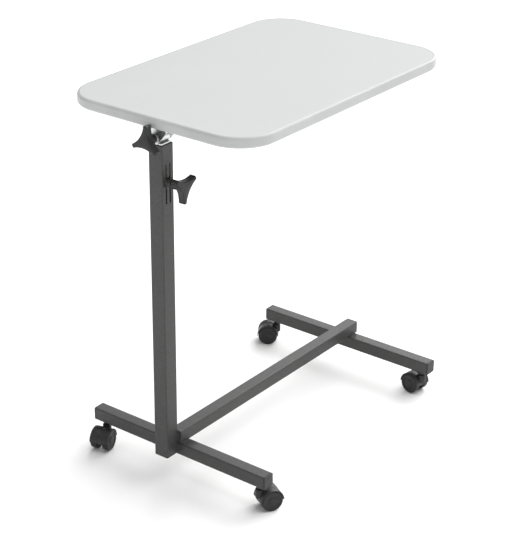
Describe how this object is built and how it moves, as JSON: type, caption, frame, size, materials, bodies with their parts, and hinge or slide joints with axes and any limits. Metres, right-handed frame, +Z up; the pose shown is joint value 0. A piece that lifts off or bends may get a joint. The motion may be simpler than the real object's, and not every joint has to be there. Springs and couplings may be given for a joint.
{
  "type": "overbed table",
  "caption": "Overbed table with a rounded rectangular tilting top on an offset telescopic square post, an H-shaped square-tube base and twin-wheel castors.",
  "frame": {"origin": "on the floor under the middle of the overall length and width, at rest", "axes": "+Z up, +X along the long base bar from the post towards the far crossbar, +Y to the left when looking along +X"},
  "size_m": [0.6296, 0.4424, 0.708],
  "materials": {
    "frame_paint": "dark grey hammered powder coat",
    "cap_plastic": "dark grey moulded plastic",
    "knob_plastic": "near-black satin plastic",
    "hood_plastic": "near-black satin nylon",
    "wheel_plastic": "black nylon tread",
    "glide_plastic": "natural acetal",
    "zinc": "bright zinc plate",
    "black_steel": "blackened steel",
    "laminate": "light grey satin laminate on particle board",
    "moulding": "mid grey satin plastic moulding"
  },
  "bodies": {
    "base": {"near_crossbar": "frame_paint", "far_crossbar": "frame_paint", "long_bar": "frame_paint", "outer_post": "frame_paint", "near_crossbar_cap_left": "cap_plastic", "near_crossbar_cap_right": "cap_plastic", "far_crossbar_cap_left": "cap_plastic", "far_crossbar_cap_right": "cap_plastic", "long_bar_cap": "cap_plastic", "post_foot_cap": "cap_plastic", "clamp_bush": "frame_paint", "castor_insert_near_left": "zinc", "castor_stem_near_left": "black_steel", "castor_insert_near_right": "zinc", "castor_stem_near_right": "black_steel", "castor_insert_far_left": "zinc", "castor_stem_far_left": "black_steel", "castor_insert_far_right": "zinc", "castor_stem_far_right": "black_steel"},
    "clamp_slide": {"clamp_pad": "glide_plastic"},
    "height_clamp": {"height_screw": "zinc", "height_knob": "knob_plastic"},
    "mast": {"inner_post": "frame_paint", "post_glide": "glide_plastic", "mast_head": "zinc"},
    "table": {"tilt_bracket": "zinc", "support_plate": "frame_paint", "tilt_bolt": "zinc", "tabletop_board": "laminate", "edge_moulding": "moulding", "table_screw_1": "zinc", "table_screw_2": "zinc", "table_screw_3": "zinc", "table_screw_4": "zinc", "table_screw_5": "zinc", "table_screw_6": "zinc"},
    "tilt_slide": {"tilt_washer": "zinc"},
    "tilt_clamp": {"tilt_knob": "knob_plastic"},
    "castor_near_left": {"castor_hood_near_left": "hood_plastic", "castor_axle_near_left": "zinc"},
    "wheel_near_left_a": {"castor_wheel_near_left_a": "wheel_plastic"},
    "wheel_near_left_b": {"castor_wheel_near_left_b": "wheel_plastic"},
    "castor_near_right": {"castor_hood_near_right": "hood_plastic", "castor_axle_near_right": "zinc"},
    "wheel_near_right_a": {"castor_wheel_near_right_a": "wheel_plastic"},
    "wheel_near_right_b": {"castor_wheel_near_right_b": "wheel_plastic"},
    "castor_far_left": {"castor_hood_far_left": "hood_plastic", "castor_axle_far_left": "zinc"},
    "wheel_far_left_a": {"castor_wheel_far_left_a": "wheel_plastic"},
    "wheel_far_left_b": {"castor_wheel_far_left_b": "wheel_plastic"},
    "castor_far_right": {"castor_hood_far_right": "hood_plastic", "castor_axle_far_right": "zinc"},
    "wheel_far_right_a": {"castor_wheel_far_right_a": "wheel_plastic"},
    "wheel_far_right_b": {"castor_wheel_far_right_b": "wheel_plastic"}
  },
  "joints": [
    {"name": "mast_lift", "type": "slide", "parent": "base", "child": "mast", "axis": [0, 0, 1], "range_m": [0, 0.38]},
    {"name": "table_tilt", "type": "hinge", "parent": "mast", "child": "table", "pos_m": [-0.27153, 0.0065, 0.668], "axis": [1, 0, 0], "range_deg": [-45, 45]},
    {"name": "height_pad_slide", "type": "slide", "parent": "base", "child": "clamp_slide", "axis": [0, -1, 0], "range_m": [0, 0.0019]},
    {"name": "height_knob_turn", "type": "hinge", "parent": "clamp_slide", "child": "height_clamp", "pos_m": [-0.27153, 0.0065, 0.588], "axis": [0, -1, 0], "range_deg": [0, 540]},
    {"name": "tilt_washer_slide", "type": "slide", "parent": "table", "child": "tilt_slide", "axis": [-1, 0, 0], "range_m": [0, 0.0019]},
    {"name": "tilt_knob_turn", "type": "hinge", "parent": "tilt_slide", "child": "tilt_clamp", "pos_m": [-0.27153, 0.0065, 0.668], "axis": [-1, 0, 0], "range_deg": [0, 540]},
    {"name": "swivel_near_left", "type": "hinge", "parent": "base", "child": "castor_near_left", "pos_m": [-0.24373, 0.1775, 0], "axis": [0, 0, 1], "continuous": true},
    {"name": "roll_near_left_a", "type": "hinge", "parent": "castor_near_left", "child": "wheel_near_left_a", "pos_m": [-0.26103, 0.17254, 0.02], "axis": [0.2756, -0.9613, 0], "continuous": true},
    {"name": "roll_near_left_b", "type": "hinge", "parent": "castor_near_left", "child": "wheel_near_left_b", "pos_m": [-0.26103, 0.17254, 0.02], "axis": [0.2756, -0.9613, 0], "continuous": true},
    {"name": "swivel_near_right", "type": "hinge", "parent": "base", "child": "castor_near_right", "pos_m": [-0.24373, -0.1855, 0], "axis": [0, 0, 1], "continuous": true},
    {"name": "roll_near_right_a", "type": "hinge", "parent": "castor_near_right", "child": "wheel_near_right_a", "pos_m": [-0.22799, -0.19423, 0.02], "axis": [0.4848, 0.8746, 0], "continuous": true},
    {"name": "roll_near_right_b", "type": "hinge", "parent": "castor_near_right", "child": "wheel_near_right_b", "pos_m": [-0.22799, -0.19423, 0.02], "axis": [0.4848, 0.8746, 0], "continuous": true},
    {"name": "swivel_far_left", "type": "hinge", "parent": "base", "child": "castor_far_left", "pos_m": [0.29027, 0.1775, 0], "axis": [0, 0, 1], "continuous": true},
    {"name": "roll_far_left_a", "type": "hinge", "parent": "castor_far_left", "child": "wheel_far_left_a", "pos_m": [0.2802, 0.19242, 0.02], "axis": [-0.829, -0.5592, 0], "continuous": true},
    {"name": "roll_far_left_b", "type": "hinge", "parent": "castor_far_left", "child": "wheel_far_left_b", "pos_m": [0.2802, 0.19242, 0.02], "axis": [-0.829, -0.5592, 0], "continuous": true},
    {"name": "swivel_far_right", "type": "hinge", "parent": "base", "child": "castor_far_right", "pos_m": [0.29027, -0.1855, 0], "axis": [0, 0, 1], "continuous": true},
    {"name": "roll_far_right_a", "type": "hinge", "parent": "castor_far_right", "child": "wheel_far_right_a", "pos_m": [0.29309, -0.16772, 0.02], "axis": [-0.9877, 0.1564, 0], "continuous": true},
    {"name": "roll_far_right_b", "type": "hinge", "parent": "castor_far_right", "child": "wheel_far_right_b", "pos_m": [0.29309, -0.16772, 0.02], "axis": [-0.9877, 0.1564, 0], "continuous": true}
  ],
  "couplings": [
    {"joint": "height_pad_slide", "follows": "height_knob_turn", "m_per_rad": 0.00019894},
    {"joint": "tilt_washer_slide", "follows": "tilt_knob_turn", "m_per_rad": 0.00019894}
  ]
}
